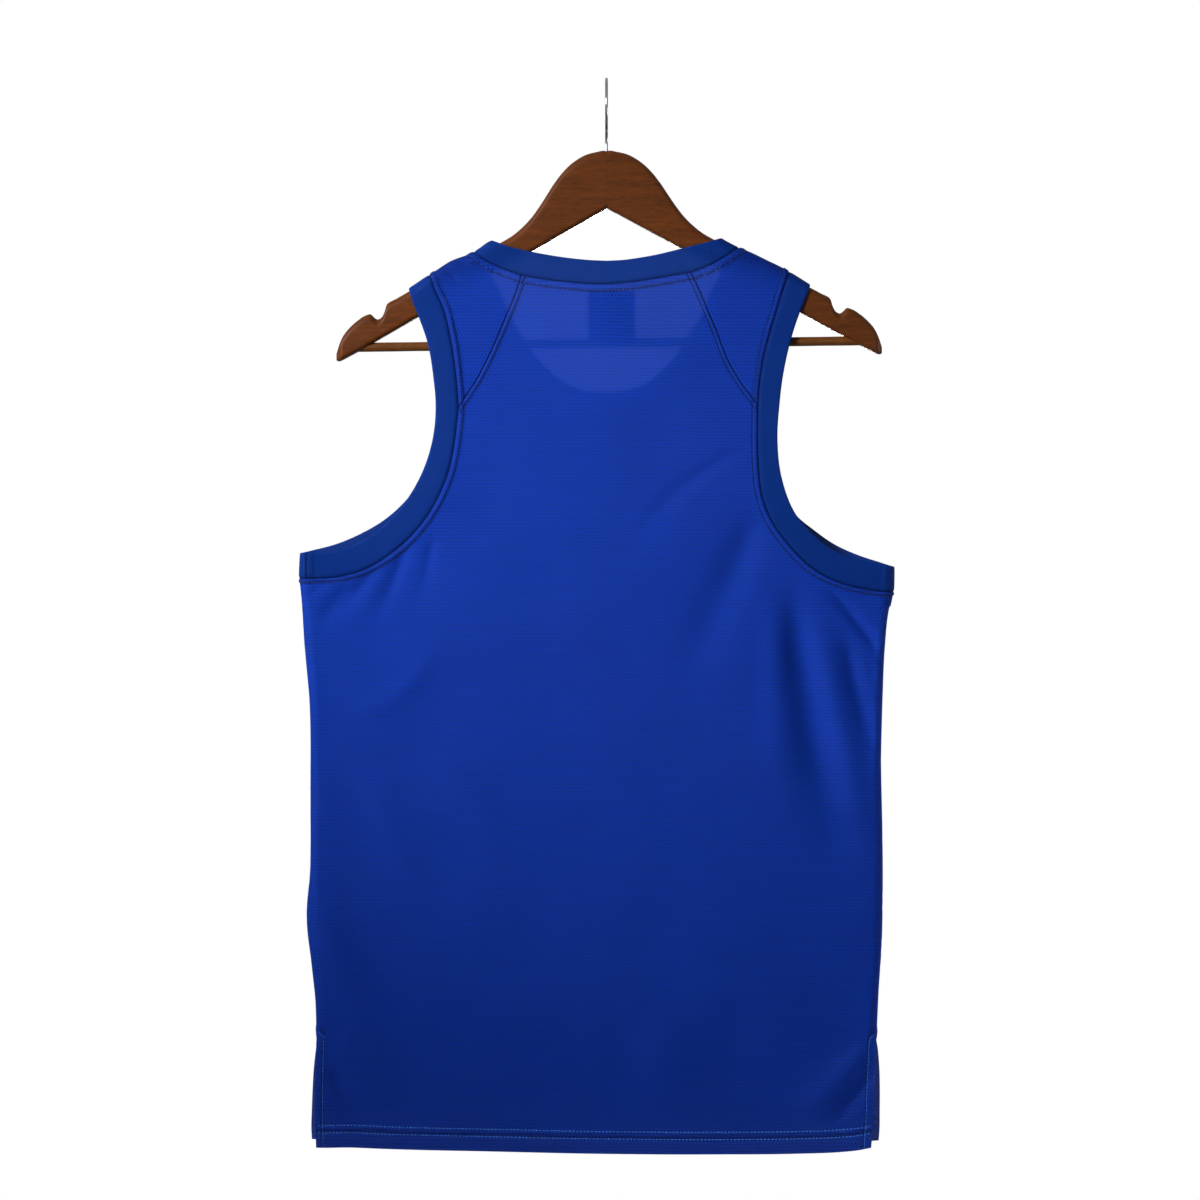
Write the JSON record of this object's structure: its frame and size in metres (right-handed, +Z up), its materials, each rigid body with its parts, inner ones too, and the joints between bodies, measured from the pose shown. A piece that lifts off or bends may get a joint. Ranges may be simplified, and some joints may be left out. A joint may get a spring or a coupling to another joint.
{
  "type": "tank top on a hanger",
  "caption": "Plain blue knitted sleeveless training top with bound neck and armholes and side vents, hung flat on a wooden hanger with a trouser bar and a wire hook.",
  "frame": {"origin": "inside top of the hook's loop, where it rests on a rail", "axes": "+Z up, -Y out of the garment's back, which the picture shows, +X to the viewer's right; the rail lies along X"},
  "size_m": [0.4853, 0.047, 0.8779],
  "materials": {
    "mesh_knit": "fine royal-blue mesh knit, matt",
    "band_knit": "smooth royal-blue band knit, a little darker",
    "label_cloth": "plain navy woven tape",
    "stained_wood": "red-brown stained wood, satin lacquer",
    "pale_wood": "yellow-brown round wood bar, satin",
    "hook_wire": "bright plated wire"
  },
  "bodies": {
    "root": {"back_panel": "mesh_knit", "front_panel": "mesh_knit", "shoulder_panel_left": "mesh_knit", "shoulder_panel_right": "mesh_knit", "neck_band": "band_knit", "armhole_band_left": "band_knit", "armhole_band_right": "band_knit", "neck_label": "label_cloth", "hanger_arm_left": "stained_wood", "hanger_arm_right": "stained_wood", "hanger_bar": "pale_wood", "hanger_hook": "hook_wire"}
  },
  "joints": []
}
